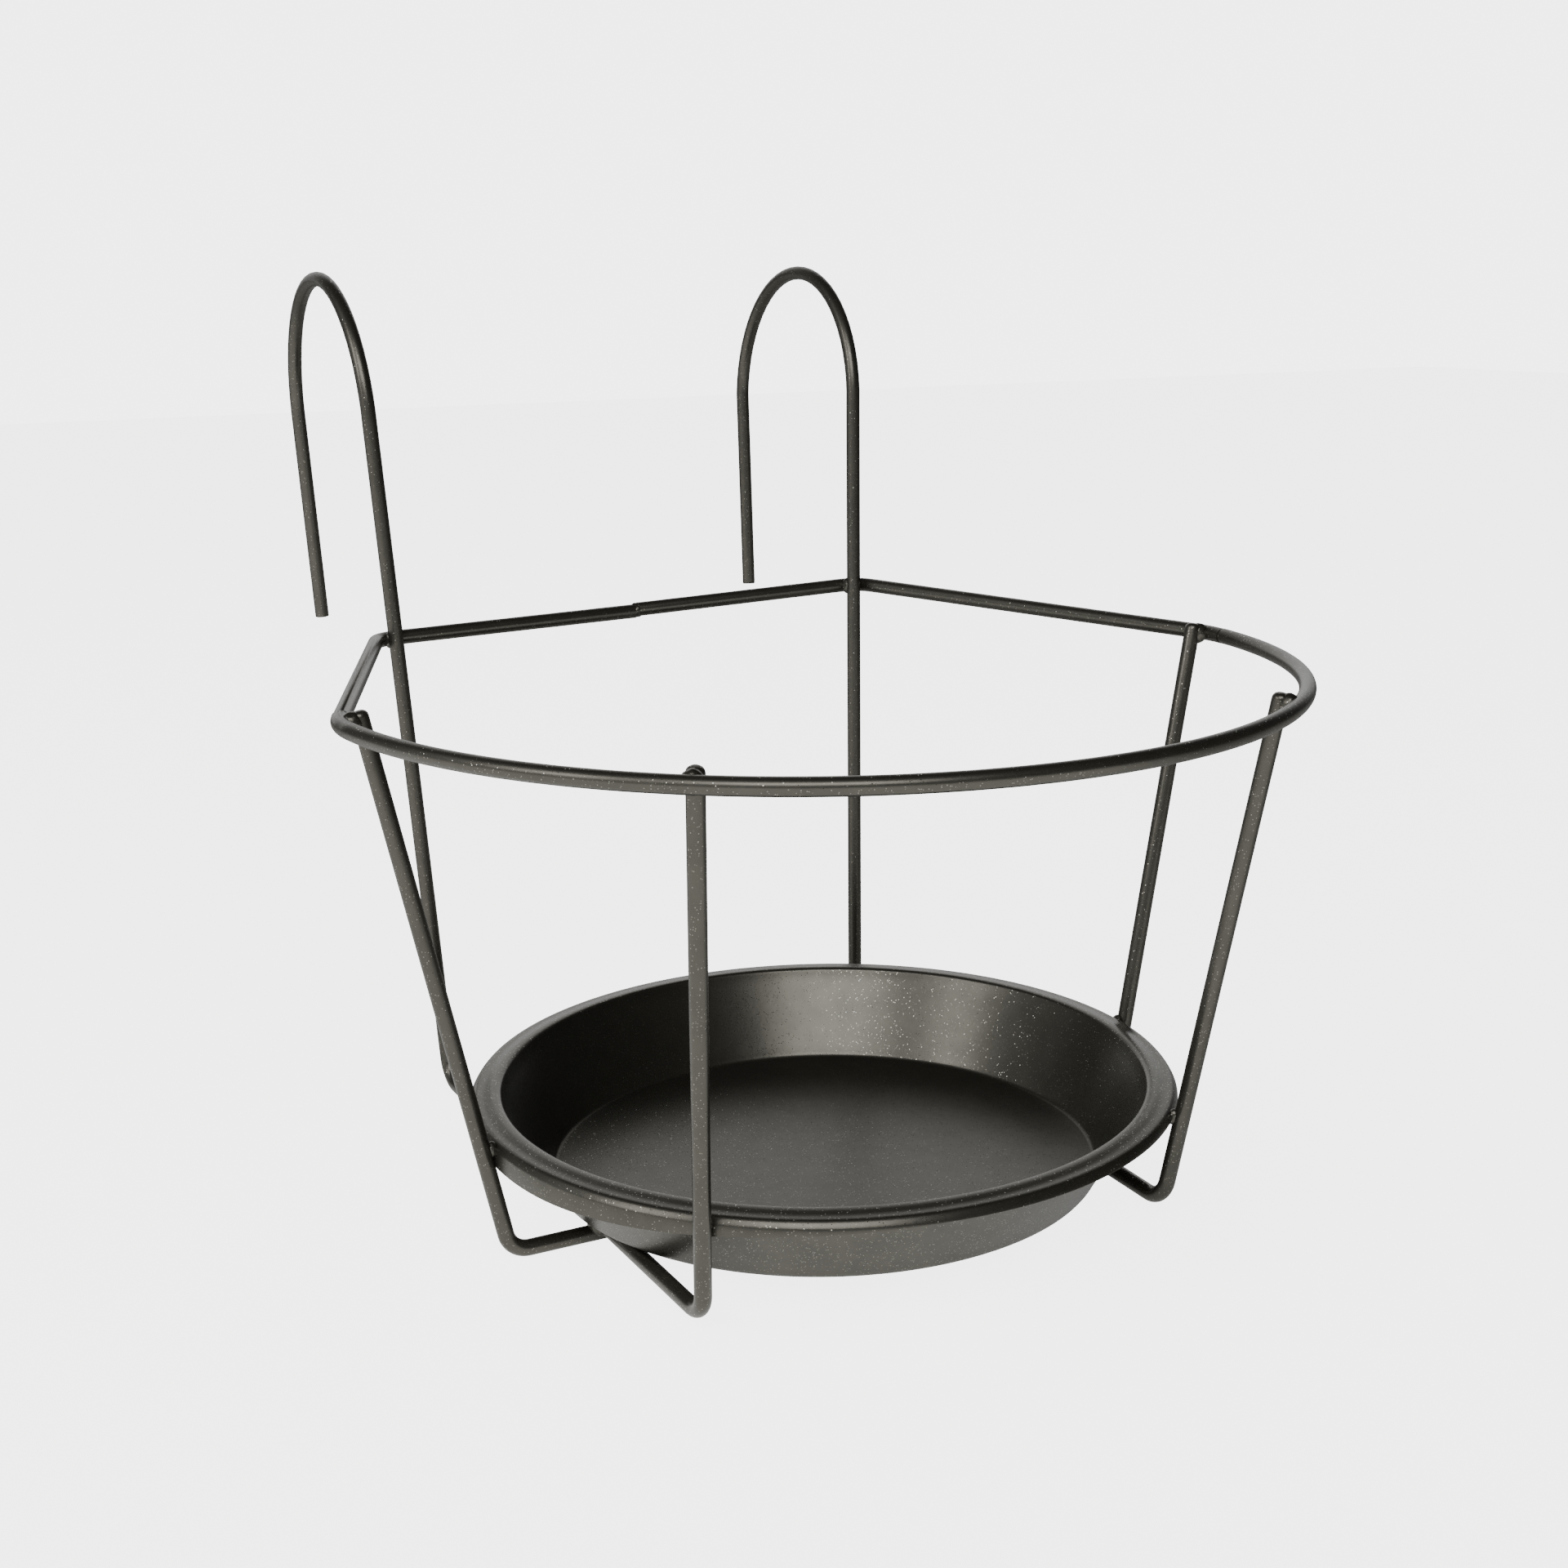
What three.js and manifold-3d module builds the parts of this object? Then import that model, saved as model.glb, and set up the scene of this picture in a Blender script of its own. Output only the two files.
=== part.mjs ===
// A rail-hung pot basket of round steel wire: a D-shaped hoop, two hook wires, a cross wire and a
// pressed saucer, all welded together. Millimetres, +Z up, front at -Y, rail side at +Y.
import * as THREE from "three";
import { mergeVertices } from "three/addons/utils/BufferGeometryUtils.js";
import Module from "manifold-3d";

const wasm = await Module();
wasm.setup();

// Stock
const WIRE = 5; // round wire, diameter
const GAP = 0.3; // between two pieces that touch
const PITCH = WIRE + GAP; // centre to centre of two touching wires
const WIRE_SIDES = 10;
const BEND_STEP = THREE.MathUtils.degToRad(16); // turn between two stations of a bend

// Heights of the wire centres
const SET_DOWN = 1.4; // how far the cross wire is sunk into by the wires welded on top of it
const CROSS_Z = WIRE / 2; // the cross wire lies lowest
const RUN_Z = CROSS_Z + PITCH - SET_DOWN; // the hook wires' bottom runs lie on it
const HOOP_Z = 164.6;
const RIB_END_Z = HOOP_Z + 4; // the four ribs end just above the hoop

// Hoop, seen from above: back bar, two straight sides that spread forward, and a front arc
const HOOP_BACK_Y = 147.3;
const HOOP_CORNER_X = 93;
const HOOP_CORNER_BEND = 10;
const HOOP_SIDE_Y = 1; // where a straight side runs into the arc
const ARC_CENTRE_Y = 6.9;
const ARC_HALF_WIDTH = 146;
const ARC_DEPTH = 150.8;
const ARC_STEPS = 36;
const BLEND_REACH = 9; // length on each side over which a side curves into the arc
const BLEND_STEPS = 4;
const BACK_BAR_RISE = 2.5; // the back bar isn't quite level: its right corner is higher
const BUTT_X = 2.5; // where the hoop's two ends are welded together

// Hook wires, one on each side; x is the distance from the middle
const FOOT = new THREE.Vector3(81.5, 130.6, RUN_Z); // corner of upright and bottom run
const UPRIGHT_AT_HOOP = new THREE.Vector3(88.2, 141.3, HOOP_Z);
const HOOK_START_Z = 233.9;
const HOOK_RADIUS = 47.5;
const HOOK_STEPS = 12;
const LEG_LENGTH = 77;
const LEG_SPLAY = { left: 3.4, right: -3.9 }; // how far the free end stands off from parallel
const FRONT_CORNER = new THREE.Vector3(76.7, -75.2, RUN_Z); // corner of bottom run and front rib
const FRONT_RIB_ANGLE = THREE.MathUtils.degToRad(51); // where the front rib meets the hoop's arc
const FOOT_BEND = 9;
const FRONT_BEND = 9;

// Cross wire: two side ribs and the run between them
const CROSS_CORNER = new THREE.Vector3(106.7, -3.7, CROSS_Z); // corner of the run and a side rib
const SIDE_RIB_AT_HOOP = new THREE.Vector3(139.4, 1.2, HOOP_Z);
const CROSS_BEND = 7;
const LEAN = 1.04; // a leaning rib needs this much more room beside the hoop than an upright one

// Saucer, a pressed pan
const SHEET = 1;
const SAUCER_Z = RUN_Z + WIRE / 2 + GAP; // its underside, just clear of the bottom runs
const BASE_RADIUS = 86.2;
const MOUTH_RADIUS = 100.6; // inner edge of the rim
const RIM_RADIUS = 110.2;
const FLANGE_Z = 37.3; // inner edge of the flange
const FLANGE_FALL = 1.3; // how much lower its outer edge lies
const BEAD_HEIGHT = 1; // of the raised ring between wall and flange
const BEAD_WIDTH = 3.2;
const BEAD_STEPS = 4;
const HEM = 2.2; // depth of the turned-down edge
const HEM_CHAMFER = 0.6; // along the hem's upper corner
const BASE_CORNER = { reach: 1.8, rise: 0.8 }; // bend from base to wall, outside
const FLOOR_CORNER = { inset: 0.3, reach: 1.7, rise: 1.4 }; // the same bend, inside
const THROAT = { reach: 2, rise: 1.8 }; // bend from wall to flange, outside
const THROAT_DROP = 3.7; // how far below the flange that bend begins
const SAUCER_SEGMENTS = 64;

// Welds
const HOOP_WELD = 4.1; // radius of each bead
const RIM_WELD = 3.4;
const RUN_WELD = 4;
const BASE_WELD = 3.2;
const BASE_WELD_Y = -33; // where the bottom runs come out from under the saucer's base
const BUTT_COLLAR = 0.7; // how far the butt weld stands out from the wire
const BUTT_LENGTH = 3.4;
const COLLAR_LIP = 0.1; // thickness of the collar at its two ends
const COLLAR_SEGMENTS = 16;
const WELD_SEGMENTS = 12;

const SAME_POINT = 1e-4; // corners closer than this are one

const steel = (name, color = 0x4a4a46) =>
  new THREE.MeshStandardMaterial({ name, color, roughness: 0.45, metalness: 0.6 });

// ---- Wire routes -------------------------------------------------------------------------

// A curve through fixed stations, close together in bends and far apart on straight stretches.
class Route extends THREE.Curve {
  constructor(stations) {
    super();
    this.stations = stations;
  }

  getPoint(t, target = new THREE.Vector3()) {
    const place = t * (this.stations.length - 1);
    const i = Math.min(Math.floor(place), this.stations.length - 2);
    return target.lerpVectors(this.stations[i], this.stations[i + 1], place - i);
  }

  // Keeps the stations where they are instead of spacing them evenly.
  getUtoTmapping(u) {
    return u;
  }
}

// Stations of a route with its inner corners rounded to their bend radius.
function rounded(corners) {
  const stations = [];
  corners.forEach(([at, radius], i) => {
    if (!radius) {
      stations.push(at);
      return;
    }
    const into = at.clone().sub(corners[i - 1][0]).normalize();
    const out = corners[i + 1][0].clone().sub(at).normalize();
    const turn = into.angleTo(out);
    const side = out.clone().addScaledVector(into, -into.dot(out)).normalize();
    const start = at.clone().addScaledVector(into, -radius * Math.tan(turn / 2));
    const centre = start.clone().addScaledVector(side, radius);
    const steps = Math.ceil(turn / BEND_STEP);
    for (let k = 0; k <= steps; k++) {
      const angle = (turn * k) / steps;
      stations.push(
        centre
          .clone()
          .addScaledVector(side, -radius * Math.cos(angle))
          .addScaledVector(into, radius * Math.sin(angle)),
      );
    }
  });
  return stations;
}

// A point of the hoop's front arc; the angle counts down from the right-hand end.
const onArc = (angle) =>
  new THREE.Vector3(
    ARC_HALF_WIDTH * Math.cos(angle),
    ARC_CENTRE_Y - ARC_DEPTH * Math.sin(angle),
    HOOP_Z,
  );

const mirrored = (point) => new THREE.Vector3(-point.x, point.y, point.z);

// The back bar's rise fades out along the two straight sides.
function tilted(point) {
  const across = THREE.MathUtils.clamp(point.x / HOOP_CORNER_X, -1, 1);
  const back = (point.y - HOOP_SIDE_Y) / (HOOP_BACK_Y - HOOP_SIDE_Y);
  const rise = BACK_BAR_RISE * across * THREE.MathUtils.clamp(back, 0, 1);
  return new THREE.Vector3(point.x, point.y, point.z + rise);
}

function hoopRoute() {
  const corner = new THREE.Vector3(HOOP_CORNER_X, HOOP_BACK_Y, HOOP_Z);
  const joinAngle = Math.asin((ARC_CENTRE_Y - HOOP_SIDE_Y) / ARC_DEPTH);
  const join = onArc(joinAngle);
  const sideEnd = join
    .clone()
    .addScaledVector(corner.clone().sub(join).normalize(), BLEND_REACH);
  const arcStart = joinAngle + BLEND_REACH / ARC_DEPTH;
  const blend = new THREE.QuadraticBezierCurve3(sideEnd, join, onArc(arcStart)).getPoints(
    BLEND_STEPS,
  );
  const butt = (x) => new THREE.Vector3(x, HOOP_BACK_Y, HOOP_Z);
  const right = rounded([
    [butt(BUTT_X + GAP / 2)],
    [corner, HOOP_CORNER_BEND],
    [sideEnd],
  ]);
  const left = rounded([
    [butt(BUTT_X - GAP / 2)],
    [mirrored(corner), HOOP_CORNER_BEND],
    [mirrored(sideEnd)],
  ]);
  const arc = [];
  for (let k = 1; k < ARC_STEPS; k++) {
    arc.push(onArc(arcStart + ((Math.PI - 2 * arcStart) * k) / ARC_STEPS));
  }
  const stations = [
    ...right,
    ...blend.slice(1),
    ...arc,
    ...blend.map(mirrored).reverse(),
    ...left.reverse().slice(1),
  ];
  return new Route(stations.map(tilted));
}

// Where a front rib's centre line passes the hoop, just inside the arc.
function frontRibAtHoop() {
  const seat = onArc(FRONT_RIB_ANGLE);
  const outward = new THREE.Vector3(
    Math.cos(FRONT_RIB_ANGLE) / ARC_HALF_WIDTH,
    -Math.sin(FRONT_RIB_ANGLE) / ARC_DEPTH,
    0,
  ).normalize();
  return seat.addScaledVector(outward, -PITCH * LEAN);
}

// The point at height z on the straight line through two points.
function atHeight(from, through, z) {
  const share = (z - from.z) / (through.z - from.z);
  return from.clone().lerp(through, share);
}

// The point at depth y on the straight line through two points.
function atY(from, through, y) {
  const share = (y - from.y) / (through.y - from.y);
  return from.clone().lerp(through, share);
}

// Free leg, hook, upright, bottom run and front rib of the right-hand wire.
function hookRoute(splay) {
  const upward = UPRIGHT_AT_HOOP.clone().sub(FOOT).normalize();
  const hookStart = atHeight(FOOT, UPRIGHT_AT_HOOP, HOOK_START_Z);
  const backward = new THREE.Vector3(0, 1, 0);
  const centre = hookStart.clone().addScaledVector(backward, HOOK_RADIUS);
  const hook = [];
  for (let k = 0; k <= HOOK_STEPS; k++) {
    const angle = Math.PI * (1 - k / HOOK_STEPS);
    hook.push(
      centre
        .clone()
        .addScaledVector(backward, -HOOK_RADIUS * Math.cos(angle))
        .addScaledVector(upward, HOOK_RADIUS * Math.sin(angle)),
    );
  }
  const legEnd = hook[0]
    .clone()
    .addScaledVector(upward, -LEG_LENGTH)
    .addScaledVector(backward, splay);
  const ribEnd = atHeight(FRONT_CORNER, frontRibAtHoop(), RIB_END_Z);
  const lower = rounded([
    [hook[HOOK_STEPS]],
    [FOOT, FOOT_BEND],
    [FRONT_CORNER, FRONT_BEND],
    [ribEnd],
  ]);
  return [legEnd, ...hook, ...lower.slice(1)];
}

function crossRoute() {
  const ribEnd = atHeight(CROSS_CORNER, SIDE_RIB_AT_HOOP, RIB_END_Z);
  return new Route(
    rounded([
      [mirrored(ribEnd)],
      [mirrored(CROSS_CORNER), CROSS_BEND],
      [CROSS_CORNER, CROSS_BEND],
      [ribEnd],
    ]),
  );
}

// ---- Solids ------------------------------------------------------------------------------

function wireGeometry(route, radius = WIRE / 2) {
  const section = new THREE.Shape().absarc(0, 0, radius, 0, 2 * Math.PI);
  return new THREE.ExtrudeGeometry(section, {
    steps: route.stations.length - 1,
    curveSegments: WIRE_SIDES / 2,
    extrudePath: route,
  });
}

function solidOf(geometry) {
  const bare = geometry.clone().deleteAttribute("normal").deleteAttribute("uv");
  const merged = mergeVertices(bare, SAME_POINT);
  return new wasm.Manifold(
    new wasm.Mesh({
      numProp: 3,
      vertProperties: merged.attributes.position.array,
      triVerts: new Uint32Array(merged.index.array),
    }),
  );
}

function geometryOf(solid) {
  const { vertProperties, triVerts } = solid.getMesh();
  const geometry = new THREE.BufferGeometry()
    .setAttribute("position", new THREE.BufferAttribute(vertProperties, 3))
    .setIndex(new THREE.BufferAttribute(triVerts, 1));
  geometry.computeVertexNormals();
  return geometry;
}

// A weld bead around the place where two pieces touch, cut back clear of both of them.
function beadGeometry(place, size, clearances) {
  const ball = new THREE.SphereGeometry(size, WELD_SEGMENTS).translate(...place);
  const bead = clearances.reduce((left, cut) => left.subtract(cut), solidOf(ball));
  const [largest] = bead.decompose().sort((a, b) => b.volume() - a.volume());
  return geometryOf(largest);
}

// The pan's sheet in section, turned about its axis: floor, sloping wall, bead, flange and hem.
function saucerGeometry() {
  const floorZ = SAUCER_Z + SHEET;
  const edgeZ = FLANGE_Z - FLANGE_FALL;
  const hemInside = RIM_RADIUS - SHEET;
  const innerBase = BASE_RADIUS - FLOOR_CORNER.inset;
  const bead = [];
  for (let k = 0; k <= BEAD_STEPS; k++) {
    const share = k / BEAD_STEPS;
    bead.push([
      MOUTH_RADIUS + BEAD_WIDTH * share,
      FLANGE_Z + BEAD_HEIGHT * Math.sin(Math.PI * share),
    ]);
  }
  const profile = [
    [0, SAUCER_Z],
    [BASE_RADIUS - BASE_CORNER.reach, SAUCER_Z],
    [BASE_RADIUS, SAUCER_Z + BASE_CORNER.rise],
    [MOUTH_RADIUS, FLANGE_Z - THROAT_DROP],
    [MOUTH_RADIUS + THROAT.reach, FLANGE_Z - THROAT_DROP + THROAT.rise],
    [hemInside - HEM_CHAMFER, edgeZ - SHEET],
    [hemInside, edgeZ - HEM],
    [RIM_RADIUS, edgeZ - HEM],
    [RIM_RADIUS, edgeZ],
    [RIM_RADIUS - HEM_CHAMFER, edgeZ + HEM_CHAMFER],
    ...bead.reverse(),
    [innerBase, floorZ + FLOOR_CORNER.rise],
    [innerBase - FLOOR_CORNER.reach, floorZ],
    [0, floorZ],
  ];
  const outline = profile.map(([r, z]) => new THREE.Vector2(r, z));
  return new THREE.LatheGeometry(outline, SAUCER_SEGMENTS).rotateX(Math.PI / 2);
}

// The collar of flash around the hoop's butt joint.
function buttCollarGeometry(direction) {
  const inner = WIRE / 2 + GAP;
  const outer = WIRE / 2 + BUTT_COLLAR;
  const half = BUTT_LENGTH / 2;
  const profile = [
    [inner, -half],
    [inner + COLLAR_LIP, -half],
    [outer, -half / 2],
    [outer, half / 2],
    [inner + COLLAR_LIP, half],
    [inner, half],
    [inner, -half],
  ].map(([r, y]) => new THREE.Vector2(r, y));
  const turn = new THREE.Quaternion().setFromUnitVectors(
    new THREE.Vector3(0, 1, 0),
    direction,
  );
  return new THREE.LatheGeometry(profile, COLLAR_SEGMENTS).applyQuaternion(turn);
}

// ---- Assembly ----------------------------------------------------------------------------

const frame = new THREE.Group();

function add(name, geometry, material) {
  const mesh = new THREE.Mesh(geometry, material);
  mesh.name = name;
  frame.add(mesh);
  return mesh;
}

const routes = {
  hoop: hoopRoute(),
  left_hook_wire: new Route(hookRoute(LEG_SPLAY.left).map(mirrored)),
  right_hook_wire: new Route(hookRoute(LEG_SPLAY.right)),
  cross_wire: crossRoute(),
};
const clearance = {};
for (const [name, route] of Object.entries(routes)) {
  clearance[name] = solidOf(wireGeometry(route, WIRE / 2 + GAP));
}
for (const [name, route] of Object.entries(routes)) {
  if (name !== "cross_wire") {
    add(name, wireGeometry(route), steel("powder_coat"));
  }
}
const saddled = solidOf(wireGeometry(routes.cross_wire))
  .subtract(clearance.left_hook_wire)
  .subtract(clearance.right_hook_wire);
add("cross_wire", geometryOf(saddled), steel("powder_coat"));

add("saucer", saucerGeometry(), steel("saucer_coat", 0x403e3a));
clearance.saucer = solidOf(
  new THREE.LatheGeometry(
    [
      [0, SAUCER_Z - GAP],
      [BASE_RADIUS, SAUCER_Z - GAP],
      [BASE_RADIUS + GAP, SAUCER_Z + GAP],
      [MOUTH_RADIUS + GAP, FLANGE_Z - THROAT_DROP - GAP],
      [RIM_RADIUS + GAP, FLANGE_Z - FLANGE_FALL - HEM - GAP],
      [RIM_RADIUS + GAP, FLANGE_Z],
      [0, FLANGE_Z + 2 * BEAD_HEIGHT],
    ].map(([r, z]) => new THREE.Vector2(r, z)),
    SAUCER_SEGMENTS,
  ).rotateX(Math.PI / 2),
);

function addWeld(name, place, size, pieces) {
  const cuts = pieces.map((piece) => clearance[piece]);
  add(name, beadGeometry(place, size, cuts), steel("weld"));
}

for (const side of ["left", "right"]) {
  const turned = side === "left" ? mirrored : (point) => point.clone();
  const hookWire = `${side}_hook_wire`;

  // Both ribs are welded to the inside of the hoop and to the outside of the saucer's rim.
  const ribs = {
    front: [hookWire, FRONT_CORNER, frontRibAtHoop()],
    side: ["cross_wire", CROSS_CORNER, SIDE_RIB_AT_HOOP],
  };
  for (const [place, [wire, corner, atHoop]] of Object.entries(ribs)) {
    const outward = new THREE.Vector3(atHoop.x, atHoop.y - ARC_CENTRE_Y, 0).normalize();
    const hoopSeam = atHoop.clone().addScaledVector(outward, PITCH / 2);
    addWeld(`hoop_weld_${side}_${place}`, turned(hoopSeam), HOOP_WELD, ["hoop", wire]);
    const seamZ = FLANGE_Z - FLANGE_FALL - HEM / 2;
    const rimSeam = atHeight(corner, atHoop, seamZ).setZ(0).setLength(RIM_RADIUS + GAP / 2);
    addWeld(`rim_weld_${side}_${place}`, turned(rimSeam.setZ(seamZ)), RIM_WELD, ["saucer", wire]);
  }

  const uprightSeam = tilted(turned(UPRIGHT_AT_HOOP));
  uprightSeam.y += PITCH / 2;
  addWeld(`hoop_weld_${side}_upright`, uprightSeam, HOOP_WELD, ["hoop", hookWire]);

  // The bottom run is welded to the cross wire below it and to the saucer above it.
  const onRun = (y) => atY(FRONT_CORNER, FOOT, y);
  const crossing = onRun(CROSS_CORNER.y).setZ(CROSS_Z + PITCH / 2);
  addWeld(`run_weld_${side}`, turned(crossing), RUN_WELD, ["cross_wire", hookWire]);
  const base = onRun(BASE_WELD_Y).setZ(SAUCER_Z);
  addWeld(`base_weld_${side}`, turned(base), BASE_WELD, ["saucer", hookWire]);
}

const buttDirection = new THREE.Vector3(HOOP_CORNER_X, 0, BACK_BAR_RISE).normalize();
add("hoop_butt_weld", buttCollarGeometry(buttDirection), steel("weld")).position.copy(
  tilted(new THREE.Vector3(BUTT_X, HOOP_BACK_Y, HOOP_Z)),
);

// The origin is the middle of the surface that the basket stands on.
const extent = new THREE.Box3().setFromObject(frame, true);
const middle = extent.getCenter(new THREE.Vector3());
frame.position.set(-middle.x, -middle.y, -extent.min.z);

const basket = new THREE.Group();
basket.add(frame);

export default basket;
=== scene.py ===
import math

import bmesh
import bpy
from mathutils import Matrix, Vector


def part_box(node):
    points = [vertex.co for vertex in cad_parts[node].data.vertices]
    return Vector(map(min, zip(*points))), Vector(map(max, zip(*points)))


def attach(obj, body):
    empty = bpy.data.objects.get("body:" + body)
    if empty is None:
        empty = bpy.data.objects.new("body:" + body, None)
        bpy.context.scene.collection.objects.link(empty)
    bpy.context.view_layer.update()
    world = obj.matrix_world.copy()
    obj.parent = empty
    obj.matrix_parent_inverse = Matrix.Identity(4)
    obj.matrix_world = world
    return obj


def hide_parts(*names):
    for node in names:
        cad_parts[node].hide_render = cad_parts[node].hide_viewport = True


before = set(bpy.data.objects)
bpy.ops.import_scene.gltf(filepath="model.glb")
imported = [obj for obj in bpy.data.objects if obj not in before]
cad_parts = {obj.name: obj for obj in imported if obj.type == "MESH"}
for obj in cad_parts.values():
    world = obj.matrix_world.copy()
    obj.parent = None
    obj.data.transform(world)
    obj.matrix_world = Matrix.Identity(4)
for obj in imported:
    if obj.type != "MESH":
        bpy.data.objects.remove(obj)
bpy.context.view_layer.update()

MM = 0.001

# ---- Sizes, in metres ------------------------------------------------------------------------
WIRE_R = 2.5 * MM
WIRE_SIDES = 28
GAP = 0.3 * MM
PITCH = 2 * WIRE_R + GAP
TURN_STEP = math.radians(6)  # turn of one step in a bend
END_STEPS = 4  # steps in the rounding of a wire's end
WIRE_CREASE = 40  # in degrees: sharper edges are shaded sharp

saucer_low, saucer_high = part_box("saucer")
AXIS = Vector(((saucer_low.x + saucer_high.x) / 2, (saucer_low.y + saucer_high.y) / 2, 0))
SAUCER_Z = saucer_low.z  # underside of the saucer
RUN_Z = SAUCER_Z - GAP - WIRE_R  # centre of the hook wires' bottom runs
CROSS_Z = WIRE_R
HOOP_Z = RUN_Z + 158.2 * MM
RIB_END_Z = HOOP_Z + 3.4 * MM  # the ribs end just above the hoop


def at(x, y, z):
    """A point given in millimetres from the saucer's axis, with its height in metres."""
    return Vector((AXIS.x + x * MM, AXIS.y + y * MM, z))


def mirrored(point):
    """The point on the other side of the saucer's axis."""
    return Vector((2 * AXIS.x - point.x, point.y, point.z))


def on_side(side):
    """The function that brings a point of the right side to the given side."""
    return mirrored if side == "left" else Vector


# The hoop: a straight back bar, two straight sides and an arc round the front.
HOOP_CORNER = at(93, 147.3, HOOP_Z)
HOOP_BEND = 10 * MM
HOOP_SIDE = at(0, 1, HOOP_Z)  # the hoop's straight sides run into its front arc at this depth
ARC_CENTRE = at(0, 6.9, HOOP_Z)
ARC_HALF_WIDTH = 146 * MM
ARC_DEPTH = 150.8 * MM
ARC_BENDS = 60
BLEND_REACH = 9 * MM  # length on each side over which a side curves into the arc
BACK_BAR_RISE = Vector((0, 0, 2.5 * MM))  # its right corner is this much higher, its left one lower
BUTT = at(2.5, 147.3, HOOP_Z)  # where the hoop's two ends meet
BUTT_STEP = Vector((0, 0, 0.5 * MM))  # how much lower the left end sits there

# The hook wires and the cross wire, given for the right side.
FOOT = at(81.5, 130.6, RUN_Z)  # where the upright meets the bottom run
UPRIGHT_AT_HOOP = at(88.2, 141.3, HOOP_Z)
HOOK_START_Z = HOOP_Z + 69.3 * MM  # the upright's straight part ends here
HOOK_RADIUS = 47.5 * MM
LEG_LENGTH = 77 * MM
LEG_SPLAY = {"left": 3.4 * MM, "right": -3.9 * MM}  # how far the leg's end leans back
FRONT_CORNER = at(76.7, -75.2, RUN_Z)  # where the bottom run meets the front rib
HOOK_WIRE_BEND = 9 * MM
FRONT_RIB_ANGLE = math.radians(51)  # round the front arc, from its right end
CROSS_CORNER = at(106.7, -3.7, CROSS_Z)  # where the cross wire turns up into its side rib
CROSS_BEND = 7 * MM
SIDE_RIB_AT_HOOP = at(139.4, 1.2, HOOP_Z)
LEAN = 1.04  # a leaning rib needs this much more room beside the hoop than an upright one
BURR_OFF = 0.5 * MM  # rounding of a sawn end
DOMED = 1.7 * MM  # rounding of a rib's top end

# The saucer, with radii from its axis.
RIM_R = 110.2 * MM
MOUTH_R = 100.6 * MM
BASE_R = 86.2 * MM
FLANGE_Z = SAUCER_Z + 28.5 * MM
HEM_DEEP_SIDE = Vector((-0.95, -0.3, 0))  # the hem's edge hangs lowest on this side
HEM_DEEPER = 5.2 * MM
HEM_SPREAD = 125 * MM  # how far from there the lowering fades out
SHEET = 1.0 * MM
PAN_SIDES = 192
PAN_START_R = 10 * MM  # the first ring, in the middle of the floor
WALL_RINGS = 8
PAN_CREASE = 50  # in degrees

# The welds.
RIB_WELD_R = 3.1 * MM
RIM_WELD_R = 1.9 * MM
UPRIGHT_WELD_R = 3.2 * MM
CROSSING_WELD_R = 3.6 * MM
PAN_WELD_R = 1.5 * MM
BUTT_WELD_R = 2.62 * MM
RIM_WELD_Z = FLANGE_Z - 2.4 * MM
PAN_WELD_Y = AXIS.y - 30 * MM
PAN_WELD_SHIFT = Vector((-1.6 * MM, 0, SAUCER_Z - RUN_Z - 0.9 * MM))  # from the run up to the pan
WELD_CREASE = 180  # in degrees: a lump has no sharp edge
LUMP_WIDTH = 2.2 * MM
LUMP_HEIGHT = 0.7 * MM

DOWN = Vector((0, 0, -1))
SPIN_SIGN = -1  # mesh.spin turns the other way round its axis than Matrix.Rotation


# ---- Operator helpers ------------------------------------------------------------------------
def deselect():
    """Leaves edit mode and deselects every object."""
    if bpy.context.object and bpy.context.object.mode == "EDIT":
        bpy.ops.object.mode_set(mode="OBJECT")
    bpy.ops.object.select_all(action="DESELECT")


def start_editing(select_mode="VERT"):
    """Opens the active piece in edit mode."""
    bpy.ops.object.mode_set(mode="EDIT")
    bpy.ops.mesh.select_mode(type=select_mode)


def settle(piece):
    """Puts the piece's place into its mesh."""
    bpy.ops.object.mode_set(mode="OBJECT")
    bpy.ops.object.transform_apply(location=True, rotation=True, scale=True)
    return piece


def apply_modifier(piece, kind, **settings):
    """Adds a modifier with its settings and applies it."""
    modifier = piece.modifiers.new(kind.title(), kind)
    for key, value in settings.items():
        setattr(modifier, key, value)
    bpy.context.view_layer.objects.active = piece
    bpy.ops.object.modifier_apply(modifier=modifier.name)


def smooth(piece, degrees):
    """Shades the piece smooth, but for edges sharper than so many degrees."""
    bpy.ops.object.select_all(action="DESELECT")
    piece.select_set(True)
    bpy.context.view_layer.objects.active = piece
    bpy.ops.object.shade_smooth_by_angle(angle=math.radians(degrees))


def outward_normals():
    """Turns the faces of the piece in edit mode outwards."""
    bpy.ops.mesh.select_all(action="SELECT")
    bpy.ops.mesh.normals_make_consistent(inside=False)


# ---- Wires -----------------------------------------------------------------------------------
def corner(before, point, after, radius):
    """A bend at a corner: where it starts, and the centre, axis and turn of its arc."""
    into = (point - before).normalized()
    out = (after - point).normalized()
    turn = into.angle(out)
    axis = into.cross(out).normalized()
    start = point - into * radius * math.tan(turn / 2)
    return [start, (start + axis.cross(into) * radius, axis, turn)]


def round_end(size):
    """Closes the open end of the wire and rounds its edge."""
    bpy.ops.mesh.edge_face_add()
    bpy.ops.mesh.bevel(offset=size, segments=END_STEPS, affect="EDGES")


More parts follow.
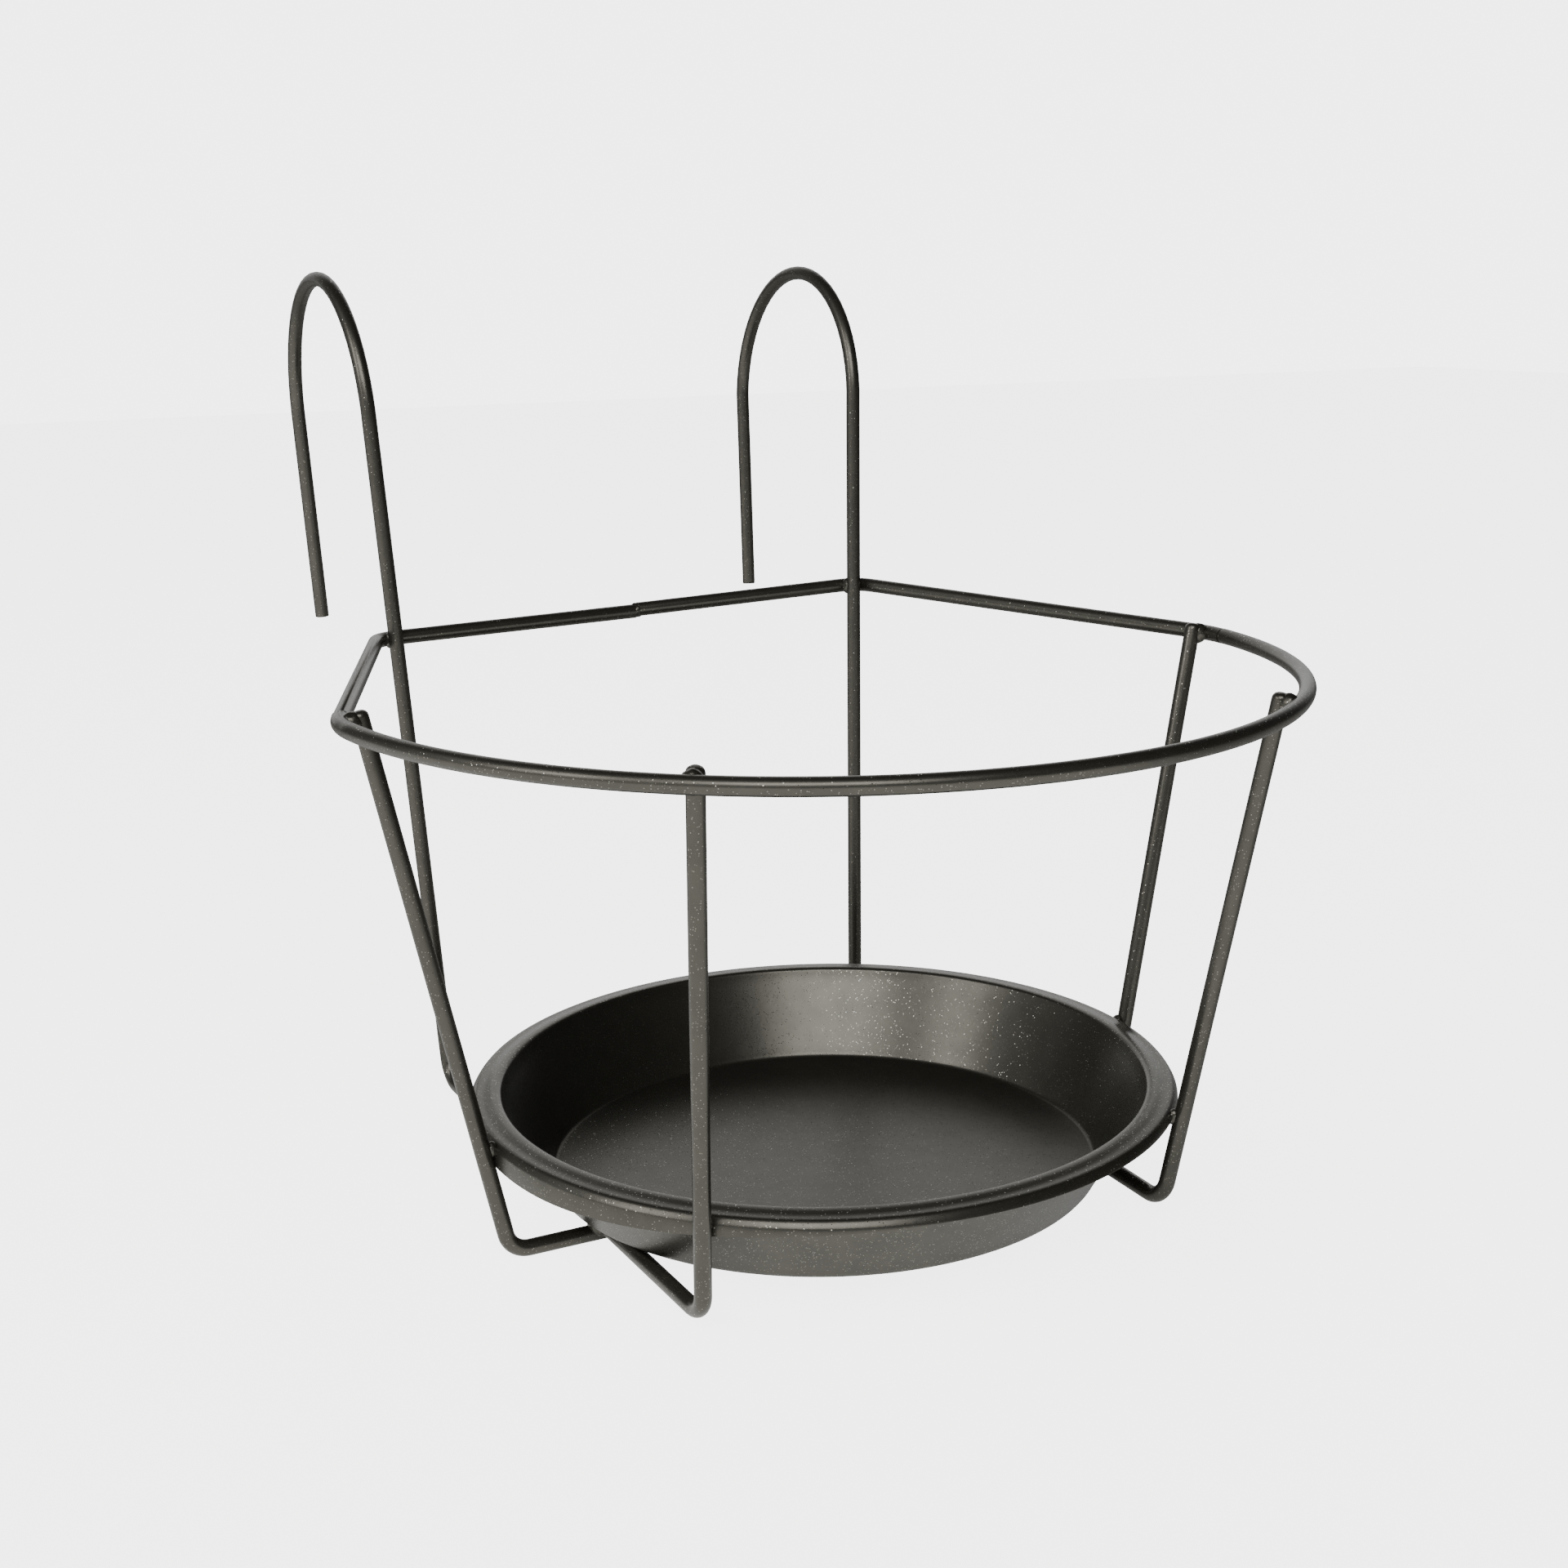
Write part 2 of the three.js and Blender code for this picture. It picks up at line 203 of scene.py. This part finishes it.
def draw_wire(name, start, route, start_round, end_round):
    """Draws a round wire: a ring is pulled straight to each point and spun round each bend."""
    deselect()
    heading = (route[0] - start).normalized()
    bpy.ops.mesh.primitive_circle_add(
        vertices=WIRE_SIDES,
        radius=WIRE_R,
        location=start,
        rotation=heading.to_track_quat("Z", "Y").to_euler(),
    )
    piece = bpy.context.object
    piece.name = name
    settle(piece)
    start_editing()
    bpy.ops.mesh.select_all(action="SELECT")
    here = start
    for step in route:
        if isinstance(step, Vector):
            bpy.ops.mesh.extrude_region_move(TRANSFORM_OT_translate={"value": step - here})
            here = step
        else:
            centre, axis, turn = step
            bpy.ops.mesh.spin(
                steps=max(2, math.ceil(turn / TURN_STEP)),
                angle=SPIN_SIGN * turn,
                center=centre,
                axis=axis,
                dupli=False,
            )
            here = centre + Matrix.Rotation(turn, 3, axis) @ (here - centre)
    round_end(end_round)
    bpy.ops.mesh.select_all(action="DESELECT")
    select_open_edges(piece)
    round_end(start_round)
    outward_normals()
    settle(piece)
    smooth(piece, WIRE_CREASE)
    return piece


def select_open_edges(piece):
    """Adds the edges with only one face to the selection."""
    bpy.ops.mesh.select_mode(type="EDGE")
    mesh = bmesh.from_edit_mesh(piece.data)
    for edge in mesh.edges:
        edge.select_set(edge.is_boundary)
    mesh.select_flush_mode()
    bmesh.update_edit_mesh(piece.data)


def on_arc(angle):
    """A point of the hoop's front arc, at an angle from its right end."""
    return ARC_CENTRE + Vector(
        (ARC_HALF_WIDTH * math.cos(angle), -ARC_DEPTH * math.sin(angle), 0)
    )


def along_arc(angle):
    """The wire's heading there, on its way from the right round the front to the left."""
    return Vector(
        (-ARC_HALF_WIDTH * math.sin(angle), -ARC_DEPTH * math.cos(angle), 0)
    ).normalized()


def level_bend(begin, end, heading, last_heading):
    """A level clockwise bend between two points, with the wire's heading at each."""
    turn = heading.angle(last_heading)
    radius = (end - begin).length / (2 * math.sin(turn / 2))
    return (begin + DOWN.cross(heading) * radius, DOWN, turn)


def arc_bends(begin, end, steps):
    """The front arc as short bends, each with the arc's own radius there."""
    bends = []
    for k in range(steps):
        a = begin + (end - begin) * k / steps
        b = begin + (end - begin) * (k + 1) / steps
        bends.append(level_bend(on_arc(a), on_arc(b), along_arc(a), along_arc(b)))
    return bends


def at_height(start, through, z):
    """The point of a line at a height."""
    return start.lerp(through, (z - start.z) / (through.z - start.z))


def at_depth(start, through, y):
    """The point of a line at a depth."""
    return start.lerp(through, (y - start.y) / (through.y - start.y))


def front_rib_at_hoop():
    """Where the right front rib's centre passes the hoop, on its inner side."""
    outward = Vector(
        (math.cos(FRONT_RIB_ANGLE) / ARC_HALF_WIDTH, -math.sin(FRONT_RIB_ANGLE) / ARC_DEPTH, 0)
    ).normalized()
    return on_arc(FRONT_RIB_ANGLE) - outward * PITCH * LEAN


def hook_wire(side):
    """One side's wire: free leg, rail hook, upright, bottom run and front rib."""
    turned = on_side(side)
    upward = (UPRIGHT_AT_HOOP - FOOT).normalized()
    hook_start = at_height(FOOT, UPRIGHT_AT_HOOP, HOOK_START_Z)
    backward = Vector((0, 1, 0))
    leg_top = hook_start + backward * 2 * HOOK_RADIUS
    leg_end = leg_top - upward * LEG_LENGTH + backward * LEG_SPLAY[side]
    rib_end = at_height(FRONT_CORNER, front_rib_at_hoop(), RIB_END_Z)
    hook_axis = backward.cross(turned(hook_start) - turned(FOOT)).normalized()
    foot = corner(turned(hook_start), turned(FOOT), turned(FRONT_CORNER), HOOK_WIRE_BEND)
    front = corner(turned(FOOT), turned(FRONT_CORNER), turned(rib_end), HOOK_WIRE_BEND)
    route = [
        turned(leg_top),
        (turned(hook_start + backward * HOOK_RADIUS), hook_axis, math.pi),
        *foot,
        *front,
        turned(rib_end),
    ]
    return draw_wire(f"{side}_bent_wire", turned(leg_end), route, BURR_OFF, DOMED)


def cross_wire():
    """The wire under the saucer, with its two side ribs."""
    rib_end = at_height(CROSS_CORNER, SIDE_RIB_AT_HOOP, RIB_END_Z)
    left_end, left = mirrored(rib_end), mirrored(CROSS_CORNER)
    route = [
        *corner(left_end, left, CROSS_CORNER, CROSS_BEND),
        *corner(left, CROSS_CORNER, rib_end, CROSS_BEND),
        rib_end,
    ]
    return draw_wire("cross_bent_wire", left_end, route, DOMED, DOMED)


def hoop():
    """The hoop's wire, from its right end at the butt weld round the front to its left end."""
    join = math.asin((ARC_CENTRE.y - HOOP_SIDE.y) / ARC_DEPTH)
    arc_start = join + BLEND_REACH / ARC_DEPTH
    straight = (on_arc(join) - HOOP_CORNER).normalized()
    right_side = on_arc(join) - straight * BLEND_REACH
    right_arc = on_arc(arc_start)
    along = along_arc(arc_start)
    left_arc, left_side = mirrored(right_arc), mirrored(right_side)
    back_along = Vector((along.x, -along.y, 0))
    back_straight = Vector((straight.x, -straight.y, 0))
    right_corner = HOOP_CORNER + BACK_BAR_RISE
    left_corner = mirrored(HOOP_CORNER) - BACK_BAR_RISE
    left_end = BUTT - Vector((GAP, 0, 0)) - BUTT_STEP
    route = [
        *corner(BUTT, right_corner, right_side, HOOP_BEND),
        right_side,
        level_bend(right_side, right_arc, straight, along),
        right_arc,
        *arc_bends(arc_start, math.pi - arc_start, ARC_BENDS),
        left_arc,
        level_bend(left_arc, left_side, back_along, back_straight),
        left_side,
        *corner(left_side, left_corner, left_end, HOOP_BEND),
        left_end,
    ]
    return draw_wire("hoop_wire", BUTT, route, BURR_OFF, BURR_OFF)


# ---- Saucer ----------------------------------------------------------------------------------
def pull_ring(radius, z, last):
    """Pulls the selected ring out to a new radius and height."""
    last_radius, last_z = last
    bpy.ops.mesh.extrude_region_move(TRANSFORM_OT_translate={"value": (0, 0, z - last_z)})
    scale = radius / last_radius
    bpy.ops.transform.resize(value=(scale, scale, 1), center_override=(AXIS.x, AXIS.y, z))
    return radius, z


def deepen_hem(piece):
    """Lowers the left part of the hem's edge, because the trim isn't parallel to the rim."""
    bpy.ops.mesh.hide(unselected=True)
    bpy.ops.mesh.select_mode(type="VERT")
    bpy.ops.mesh.select_all(action="DESELECT")
    work = bmesh.from_edit_mesh(piece.data)
    shown = [vertex for vertex in work.verts if not vertex.hide]
    furthest = max(shown, key=lambda vertex: vertex.co.dot(HEM_DEEP_SIDE))
    furthest.select = True
    bmesh.update_edit_mesh(piece.data)
    bpy.ops.transform.translate(
        value=(0, 0, -HEM_DEEPER),
        use_proportional_edit=True,
        proportional_edit_falloff="SMOOTH",
        proportional_size=HEM_SPREAD,
        use_proportional_connected=False,
    )
    bpy.ops.mesh.reveal(select=False)
    bpy.ops.mesh.select_mode(type="EDGE")


def saucer():
    """The pan's upper face, pulled ring by ring from its middle to the hem, then given its sheet."""
    deselect()
    floor_z = SAUCER_Z + SHEET
    bpy.ops.mesh.primitive_circle_add(
        vertices=PAN_SIDES,
        radius=PAN_START_R,
        fill_type="TRIFAN",
        location=(AXIS.x, AXIS.y, floor_z),
    )
    piece = bpy.context.object
    piece.name = "pan"
    settle(piece)
    start_editing("EDGE")
    bpy.ops.mesh.select_all(action="DESELECT")
    select_open_edges(piece)
    last = (PAN_START_R, floor_z)
    # Steps in from the base's edge and up from the floor, in mm: floor, then its bend to the wall.
    for inward, up in [(46, 0), (16, 0), (1.9, 0), (1.3, 0.1), (0.8, 0.4), (0.4, 0.9), (0, 1.7)]:
        last = pull_ring(BASE_R - inward * MM, floor_z + up * MM, last)
    wall_foot = Vector(last)
    wall_top = Vector((MOUTH_R - 0.3 * MM, FLANGE_Z - 1.2 * MM))
    for k in range(WALL_RINGS):
        last = pull_ring(*wall_foot.lerp(wall_top, (k + 1) / WALL_RINGS), last)
    # Steps out from the mouth and up from the flange, in mm: bead, groove, flange and lip.
    rim = [
        (0, -0.35), (0.3, 0.15), (0.8, 0.45), (1.6, 0.56), (2.7, 0.54), (3.6, 0.38),
        (4.5, 0.12), (5.3, -0.05), (6.0, -0.12), (6.8, -0.15), (7.7, -0.18), (8.2, -0.4),
        (8.6, -0.85), (9.0, -1.4), (9.3, -1.9), (9.6, -2.5),
    ]
    for out, up in rim:
        last = pull_ring(MOUTH_R + out * MM, FLANGE_Z + up * MM, last)
    hem_edge = (RIM_R + 0.05 * MM, FLANGE_Z - 2.7 * MM)
    pull_ring(*hem_edge, last)
    deepen_hem(piece)
    bpy.ops.object.mode_set(mode="OBJECT")
    apply_modifier(piece, "SOLIDIFY", thickness=SHEET, offset=-1)
    smooth(piece, PAN_CREASE)
    return piece


# ---- Welds -----------------------------------------------------------------------------------
lumps = bpy.data.textures.new("weld_lumps", "CLOUDS")
lumps.noise_scale = LUMP_WIDTH


def weld(name, place, size, stretch=(1, 1, 1), heading=(0, 0, 1)):
    """A puddle of weld metal round a seam, a little lumpy, drawn out along its heading."""
    deselect()
    bpy.ops.mesh.primitive_ico_sphere_add(
        subdivisions=4,
        radius=size,
        location=place,
        rotation=Vector(heading).to_track_quat("Z", "Y").to_euler(),
        scale=stretch,
    )
    piece = bpy.context.object
    piece.name = name
    settle(piece)
    apply_modifier(
        piece, "DISPLACE", texture=lumps, texture_coords="LOCAL", strength=LUMP_HEIGHT, mid_level=0.5
    )
    smooth(piece, WELD_CREASE)
    return piece


def side_welds(side):
    """The welds of one side, each with the CAD node it stands for."""
    turned = on_side(side)
    welds = {}
    ribs = {
        "front": (FRONT_CORNER, front_rib_at_hoop()),
        "side": (CROSS_CORNER, SIDE_RIB_AT_HOOP),
    }
    for place, (foot, top) in ribs.items():
        outward = (top - ARC_CENTRE).normalized()
        seam = turned(top + outward * PITCH / 2)
        rib_line = turned(top) - turned(foot)
        welds[f"hoop_weld_{side}_{place}"] = weld(
            f"{side}_{place}_rib_weld", seam, RIB_WELD_R, (1, 1, 1.1), rib_line
        )
        across = at_height(foot, top, RIM_WELD_Z) - AXIS
        seam = AXIS + Vector((across.x, across.y, 0)).normalized() * (RIM_R + GAP / 2)
        seam.z = RIM_WELD_Z
        welds[f"rim_weld_{side}_{place}"] = weld(
            f"{side}_{place}_rim_weld", turned(seam), RIM_WELD_R, (1, 1, 1.3), rib_line
        )
    seam = turned(UPRIGHT_AT_HOOP) + Vector((0, PITCH / 2, 0))
    seam += BACK_BAR_RISE if side == "right" else -BACK_BAR_RISE
    welds[f"hoop_weld_{side}_upright"] = weld(f"{side}_upright_weld", seam, UPRIGHT_WELD_R)
    seam = at_depth(FRONT_CORNER, FOOT, CROSS_CORNER.y)
    seam.z = (CROSS_Z + RUN_Z) / 2
    welds[f"run_weld_{side}"] = weld(
        f"{side}_crossing_weld", turned(seam), CROSSING_WELD_R, (1.1, 1.1, 1)
    )
    seam = at_depth(FRONT_CORNER, FOOT, PAN_WELD_Y) + PAN_WELD_SHIFT
    welds[f"base_weld_{side}"] = weld(f"{side}_pan_weld", turned(seam), PAN_WELD_R, (1, 1.6, 1))
    return welds


# ---- Materials -------------------------------------------------------------------------------
def linear(hex_colour):
    """An sRGB hex colour as linear RGBA."""
    channels = [int(hex_colour[i:i + 2], 16) / 255 for i in (1, 3, 5)]
    return [c / 12.92 if c <= 0.04045 else ((c + 0.055) / 1.055) ** 2.4 for c in channels] + [1]


def add_node(tree, kind, settings=None, inputs=None):
    """Adds a node with its settings; each input takes a value or the socket that feeds it."""
    node = tree.nodes.new(kind)
    for key, value in (settings or {}).items():
        setattr(node, key, value)
    for key, value in (inputs or {}).items():
        if isinstance(value, bpy.types.NodeSocket):
            tree.links.new(value, node.inputs[key])
        else:
            node.inputs[key].default_value = value
    return node


FLAKE_WIDTH = 0.42 * MM  # real flakes are about 0.05 mm wide; these are drawn coarse enough to show
FLAKE_FROM, FLAKE_ALL = 0.88, 0.91  # about one cell in ten holds a flake
FLAKE_EDGE, FLAKE_BODY = 0.45, 0.3  # a flake fades out between these shares of its cell
FLAKE_TILT = 0.2
MOTTLE_WIDTH = 7 * MM
PEEL_WIDTH = 1.6 * MM
PEEL_DEPTH = 0.1 * MM
PEEL_STRENGTH = 0.15
COAT_ROUGHNESS = 0.33
FLAKE_ROUGHNESS = 0.1
METALLIC = 0.85  # the coat is full of aluminium, but not bare metal


def powder_coat(name):
    """Satin graphite powder coat with aluminium flake, sprayed on as powder and baked.

    To the eye it is a dark grey with a soft, broad sheen, a faint orange peel and small glints.
    """
    material = bpy.data.materials.new(name)
    material.use_nodes = True
    tree = material.node_tree
    tree.nodes.clear()
    point = add_node(tree, "ShaderNodeTexCoord").outputs["Object"]
    flakes = add_node(tree, "ShaderNodeTexVoronoi", {"feature": "F1"},
                      {"Vector": point, "Scale": 1 / FLAKE_WIDTH})
    pick = add_node(tree, "ShaderNodeSeparateColor", inputs={"Color": flakes.outputs["Color"]})
    chosen = add_node(
        tree, "ShaderNodeMapRange",
        inputs={"Value": pick.outputs["Red"], "From Min": FLAKE_FROM, "From Max": FLAKE_ALL},
    )
    dot = add_node(
        tree, "ShaderNodeMapRange",
        inputs={"Value": flakes.outputs["Distance"], "From Min": FLAKE_EDGE, "From Max": FLAKE_BODY},
    )
    spark = add_node(tree, "ShaderNodeMath", {"operation": "MULTIPLY"},
                     {0: chosen.outputs["Result"], 1: dot.outputs["Result"]})
    mottle = add_node(tree, "ShaderNodeTexNoise",
                      inputs={"Vector": point, "Scale": 1 / MOTTLE_WIDTH, "Detail": 4.0})
    shade = add_node(
        tree, "ShaderNodeMix", {"data_type": "RGBA"},
        {"Factor": mottle.outputs["Fac"], "A": linear("#4b4a44"), "B": linear("#5b5952")},
    )
    colour = add_node(
        tree, "ShaderNodeMix", {"data_type": "RGBA"},
        {"Factor": spark.outputs["Value"], "A": shade.outputs["Result"], "B": linear("#8c8a82")},
    )
    peel = add_node(tree, "ShaderNodeTexNoise",
                    inputs={"Vector": point, "Scale": 1 / PEEL_WIDTH, "Detail": 2.0})
    bump = add_node(
        tree, "ShaderNodeBump",
        inputs={"Height": peel.outputs["Fac"], "Strength": PEEL_STRENGTH, "Distance": PEEL_DEPTH},
    )
    # Each flake lies at its own tilt, so it glints only where it faces a light.
    tilt = add_node(
        tree, "ShaderNodeVectorMath", {"operation": "MULTIPLY_ADD"},
        {0: flakes.outputs["Color"], 1: [2 * FLAKE_TILT] * 3, 2: [-FLAKE_TILT] * 3},
    )
    lean = add_node(tree, "ShaderNodeVectorMath", {"operation": "SCALE"},
                    {0: tilt.outputs["Vector"], "Scale": spark.outputs["Value"]})
    leaned = add_node(tree, "ShaderNodeVectorMath", {"operation": "ADD"},
                      {0: bump.outputs["Normal"], 1: lean.outputs["Vector"]})
    facing = add_node(tree, "ShaderNodeVectorMath", {"operation": "NORMALIZE"},
                      {0: leaned.outputs["Vector"]})
    rough = add_node(
        tree, "ShaderNodeMapRange",
        inputs={"Value": spark.outputs["Value"], "To Min": COAT_ROUGHNESS, "To Max": FLAKE_ROUGHNESS},
    )
    surface = add_node(
        tree, "ShaderNodeBsdfPrincipled",
        inputs={
            "Base Color": colour.outputs["Result"],
            "Normal": facing.outputs["Vector"],
            "Roughness": rough.outputs["Result"],
            "Metallic": METALLIC,
        },
    )
    add_node(tree, "ShaderNodeOutputMaterial", inputs={"Surface": surface.outputs["BSDF"]})
    return material


# ---- Building --------------------------------------------------------------------------------
coat = powder_coat("satin_graphite_powder_coat")


def finish_piece(piece, slot, *nodes):
    """Coats a piece, hangs it on the root body and hides the CAD parts it stands for; its slot is not
    used.
    """
    piece.data.materials.clear()
    piece.data.materials.append(coat)
    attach(piece, "root")
    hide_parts(*nodes)


finish_piece(hoop(), "wire_coat", "hoop")
finish_piece(hook_wire("left"), "wire_coat", "left_hook_wire")
finish_piece(hook_wire("right"), "wire_coat", "right_hook_wire")
finish_piece(cross_wire(), "wire_coat", "cross_wire")
finish_piece(saucer(), "pan_coat", "saucer")
butt = weld("back_bar_butt_weld", BUTT - BUTT_STEP / 2, BUTT_WELD_R, (1, 1, 0.9), (1, 0, 0))
finish_piece(butt, "weld_coat", "hoop_butt_weld")
for side in ("left", "right"):
    for node_name, piece in side_welds(side).items():
        finish_piece(piece, "weld_coat", node_name)

# ---- Studio ----------------------------------------------------------------------------------
FLOOR_SIZE = 8
PAPER_LIT_SIDE = (-0.75, -0.66, 0)  # painted light: the paper glows brighter in front on the left
PAPER_LIT = (-0.08, 0.15)  # metres that way between which its glow rises
PAPER_GLOW = 0.9
PAN_SHADE = (0.07, 0.09)  # radii between which the pan's painted shadow on the paper ends
PAPER_SEEN = 4.0  # the glow that the camera sees
ROOM_SEEN = 4.5
ROOM_GLOW = 0.03
WHITE = (1, 1, 1, 1)

deselect()
bpy.ops.mesh.primitive_plane_add(size=FLOOR_SIZE, location=(0, 0, 0))
floor = bpy.context.object
floor.name = "studio_floor"


def seen_or_mirrored(tree, seen, mirrored_strength):
    """One strength for what the camera sees, and another for what lights and mirrors show."""
    path = add_node(tree, "ShaderNodeLightPath")
    strength = add_node(
        tree, "ShaderNodeMix", {"data_type": "FLOAT"},
        {"Factor": path.outputs["Is Camera Ray"], "A": mirrored_strength, "B": seen},
    )
    return strength.outputs["Result"]


def paper_sweep():
    """A glowing white sweep: pale all over to look at; in mirrors, painted light on the front left
    and painted shade under the pan.
    """
    paper = bpy.data.materials.new("white_paper_sweep")
    paper.use_nodes = True
    tree = paper.node_tree
    tree.nodes.clear()
    point = add_node(tree, "ShaderNodeTexCoord").outputs["Object"]
    ahead = add_node(tree, "ShaderNodeVectorMath", {"operation": "DOT_PRODUCT"},
                     {0: point, 1: PAPER_LIT_SIDE})
    # Painted pool of light: the paper's mirrored glow rises towards the front left.
    lit = add_node(
        tree, "ShaderNodeMapRange", {"interpolation_type": "SMOOTHSTEP"},
        {
            "Value": ahead.outputs["Value"],
            "From Min": PAPER_LIT[0],
            "From Max": PAPER_LIT[1],
            "To Max": PAPER_GLOW,
        },
    )
    # Painted shadow: the paper's glow fades out right below the pan.
    away = add_node(tree, "ShaderNodeVectorMath", {"operation": "DISTANCE"}, {0: point, 1: AXIS})
    outside_painted_shadow = add_node(
        tree, "ShaderNodeMapRange", {"interpolation_type": "SMOOTHSTEP"},
        {"Value": away.outputs["Value"], "From Min": PAN_SHADE[0], "From Max": PAN_SHADE[1]},
    )
    shaded = add_node(tree, "ShaderNodeMath", {"operation": "MULTIPLY"},
                      {0: lit.outputs["Result"], 1: outside_painted_shadow.outputs["Result"]})
    strength = seen_or_mirrored(tree, PAPER_SEEN, shaded.outputs["Value"])
    glow = add_node(tree, "ShaderNodeEmission", inputs={"Strength": strength})
    matt = add_node(tree, "ShaderNodeBsdfDiffuse", inputs={"Color": linear("#e4e4e2")})
    both = add_node(tree, "ShaderNodeAddShader", inputs={0: glow.outputs[0], 1: matt.outputs[0]})
    add_node(tree, "ShaderNodeOutputMaterial", inputs={"Surface": both.outputs[0]})
    return paper


paper = paper_sweep()
floor.data.materials.append(paper)


def softbox(name, place, aim, size, watts):
    """A rectangular area light at a place, aimed at a point."""
    light = bpy.data.lights.new(name, "AREA")
    light.shape = "RECTANGLE"
    light.size, light.size_y = size
    light.energy = watts
    lamp = bpy.data.objects.new(name, light)
    bpy.context.scene.collection.objects.link(lamp)
    lamp.location = place
    lamp.rotation_euler = (Vector(aim) - Vector(place)).to_track_quat("-Z", "Y").to_euler()


softbox("key_over_camera", (-0.8, -1.35, 1.45), aim=(0, 0, 0.05), size=(1.5, 0.9), watts=25)
softbox("fill_left", (-1.85, -0.15, 1.15), aim=(0, 0, 0.1), size=(0.7, 0.9), watts=11)


def lobe(tree, point, direction, rise, strength):
    """A soft bright patch of the surroundings, round one direction."""
    facing = add_node(tree, "ShaderNodeVectorMath", {"operation": "DOT_PRODUCT"},
                      {0: point, 1: Vector(direction).normalized()})
    patch = add_node(
        tree, "ShaderNodeMapRange", {"interpolation_type": "SMOOTHSTEP"},
        {
            "Value": facing.outputs["Value"],
            "From Min": rise[0],
            "From Max": rise[1],
            "To Max": strength,
        },
    )
    return patch.outputs["Result"]


def studio_world():
    """A white sweep behind, a paler wall on the left, and a dark room on the right and above."""
    world = bpy.data.worlds.new("studio")
    bpy.context.scene.world = world
    world.use_nodes = True
    tree = world.node_tree
    tree.nodes.clear()
    point = add_node(tree, "ShaderNodeTexCoord").outputs["Generated"]
    sweep = lobe(tree, point, direction=(0.35, 0.9, 0.1), rise=(0.7, 0.95), strength=1.1)
    wall = lobe(tree, point, direction=(-1, 0, 0.15), rise=(0.5, 0.95), strength=0.45)
    both = add_node(tree, "ShaderNodeMath", {"operation": "ADD"}, {0: sweep, 1: wall})
    room = add_node(tree, "ShaderNodeMath", {"operation": "ADD"},
                    {0: both.outputs["Value"], 1: ROOM_GLOW})
    strength = seen_or_mirrored(tree, ROOM_SEEN, room.outputs["Value"])
    sky = add_node(tree, "ShaderNodeBackground", inputs={"Color": WHITE, "Strength": strength})
    add_node(tree, "ShaderNodeOutputWorld", inputs={"Surface": sky.outputs["Background"]})


studio_world()

# ---- Camera ----------------------------------------------------------------------------------
TARGET = at(-7.57, -19.28, RUN_Z + 120.8 * MM)
AZIMUTH = math.radians(-27.52)
ELEVATION = math.radians(14.25)
ROLL = math.radians(-0.68)
DISTANCE = 631.6 * MM
LENS = 49.08
SENSOR_WIDTH = 36
SHIFT_X = -0.0278
SHIFT_Y = 0.0178
CLIP_START = 0.01

back = Vector((
    math.sin(AZIMUTH) * math.cos(ELEVATION),
    -math.cos(AZIMUTH) * math.cos(ELEVATION),
    math.sin(ELEVATION),
))
camera = bpy.data.cameras.new("camera")
camera.lens = LENS
camera.sensor_width = SENSOR_WIDTH
camera.shift_x = SHIFT_X
camera.shift_y = SHIFT_Y
camera.clip_start = CLIP_START
viewer = bpy.data.objects.new("camera", camera)
bpy.context.scene.collection.objects.link(viewer)
viewer.location = TARGET + back * DISTANCE
viewer.rotation_euler = (
    back.to_track_quat("Z", "Y").to_matrix() @ Matrix.Rotation(ROLL, 3, "Z")
).to_euler()
bpy.context.scene.camera = viewer
